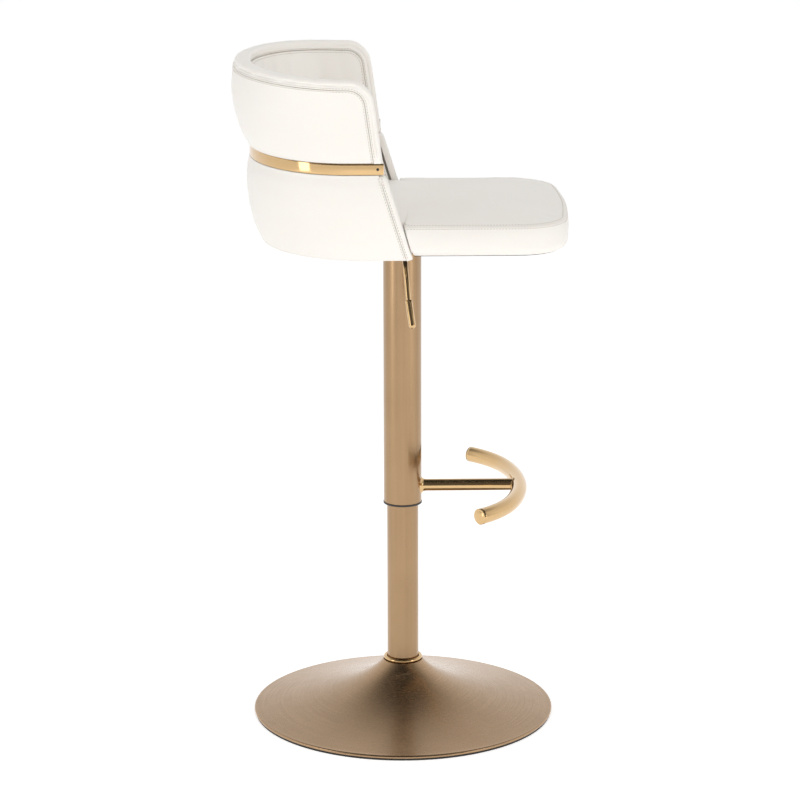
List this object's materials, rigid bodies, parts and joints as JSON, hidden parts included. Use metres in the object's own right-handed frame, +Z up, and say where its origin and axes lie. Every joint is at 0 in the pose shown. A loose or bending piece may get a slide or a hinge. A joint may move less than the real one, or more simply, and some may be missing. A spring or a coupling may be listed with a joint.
{
  "type": "bar stool",
  "caption": "Swivel bar stool: padded bucket seat with a low wraparound back, gas-lift column, curved footrest and trumpet base",
  "frame": {"origin": "on the column axis at floor level", "axes": "+Z up, the stool faces -Y, the height lever is on the sitter's right at -X"},
  "size_m": [0.48, 0.5198, 1.064],
  "materials": {
    "gold_brushed": "spun steel in a warm champagne-gold plating with fine circular brushing under a clear coat",
    "gold_satin": "steel tube in a satin champagne-gold plating",
    "gold_polished": "steel in a polished champagne-gold plating",
    "cream_leather": "soft off-white faux leather with a fine grain, over moulded foam",
    "black_steel": "black powder coat, slightly textured",
    "zinc_steel": "bright zinc plating",
    "bearing_steel": "ground and polished hard steel",
    "black_plastic": "moulded black nylon",
    "rubber": "moulded black rubber",
    "dust_cloth": "thin black non-woven cloth",
    "plywood": "raw birch plywood"
  },
  "bodies": {
    "base": {"floor_ring": "rubber", "ballast_plate": "black_steel", "base_shell": "gold_brushed", "base_collar": "gold_polished", "column": "gold_satin", "foot_flange": "black_steel", "foot_bolts": "zinc_steel", "foot_nuts": "zinc_steel", "guide_bush": "black_plastic", "lower_race": "bearing_steel"},
    "bearing": {"bearing_cage": "black_plastic", "bearing_balls": "bearing_steel"},
    "rod": {"piston_rod": "bearing_steel", "upper_race": "bearing_steel", "rod_washer": "zinc_steel", "rod_clip": "zinc_steel", "rod_buffer": "rubber", "piston": "zinc_steel", "piston_nut": "zinc_steel"},
    "lever": {"lever_pivot": "black_steel", "lever_rod": "gold_polished", "lever_grip": "gold_polished"},
    "pin": {"release_pin": "bearing_steel"},
    "seat": {"gas_cylinder": "black_steel", "rod_guide": "black_plastic", "rod_seal": "rubber", "valve_block": "zinc_steel", "sleeve": "gold_satin", "sleeve_ring": "black_plastic", "sleeve_spacer": "zinc_steel", "grub_screws": "zinc_steel", "stem_flange": "gold_polished", "footrest_stem": "gold_polished", "footrest_bar": "gold_polished", "footrest_caps": "gold_polished", "plate_hub": "black_steel", "seat_plate": "black_steel", "lever_bracket": "black_steel", "pivot_pin": "zinc_steel", "plate_bolts": "zinc_steel", "plate_washers": "zinc_steel", "tee_nuts": "zinc_steel", "dust_cover": "dust_cloth", "cover_staples": "zinc_steel", "seat_board": "plywood", "seat_cushion": "cream_leather", "back_brackets": "black_steel", "bracket_screws": "zinc_steel", "back_core": "plywood", "inner_pad": "cream_leather", "lower_pad": "cream_leather", "lower_strip": "cream_leather", "upper_pad": "cream_leather", "rim_strip": "cream_leather", "trim_band": "gold_polished"}
  },
  "joints": [
    {"name": "bearing_spin", "type": "hinge", "parent": "base", "child": "bearing", "pos_m": [0, 0, 0], "axis": [0, 0, 1], "continuous": true},
    {"name": "seat_swivel", "type": "hinge", "parent": "base", "child": "rod", "pos_m": [0, 0, 0], "axis": [0, 0, 1], "continuous": true},
    {"name": "seat_height", "type": "slide", "parent": "rod", "child": "seat", "axis": [0, 0, 1], "range_m": [-0.215, 0]},
    {"name": "lever_lift", "type": "hinge", "parent": "seat", "child": "lever", "pos_m": [-0.03, 0, 0.776], "axis": [0, 1, 0], "range_deg": [0, 8], "stiffness_Nm_per_rad": 3, "springref_deg": -8.59},
    {"name": "pin_press", "type": "slide", "parent": "seat", "child": "pin", "axis": [0, 0, -1], "range_m": [0, 0.0045]}
  ],
  "couplings": [
    {"joint": "bearing_spin", "follows": "seat_swivel", "ratio": 0.5},
    {"joint": "pin_press", "follows": "lever_lift", "m_per_rad": 0.03}
  ]
}
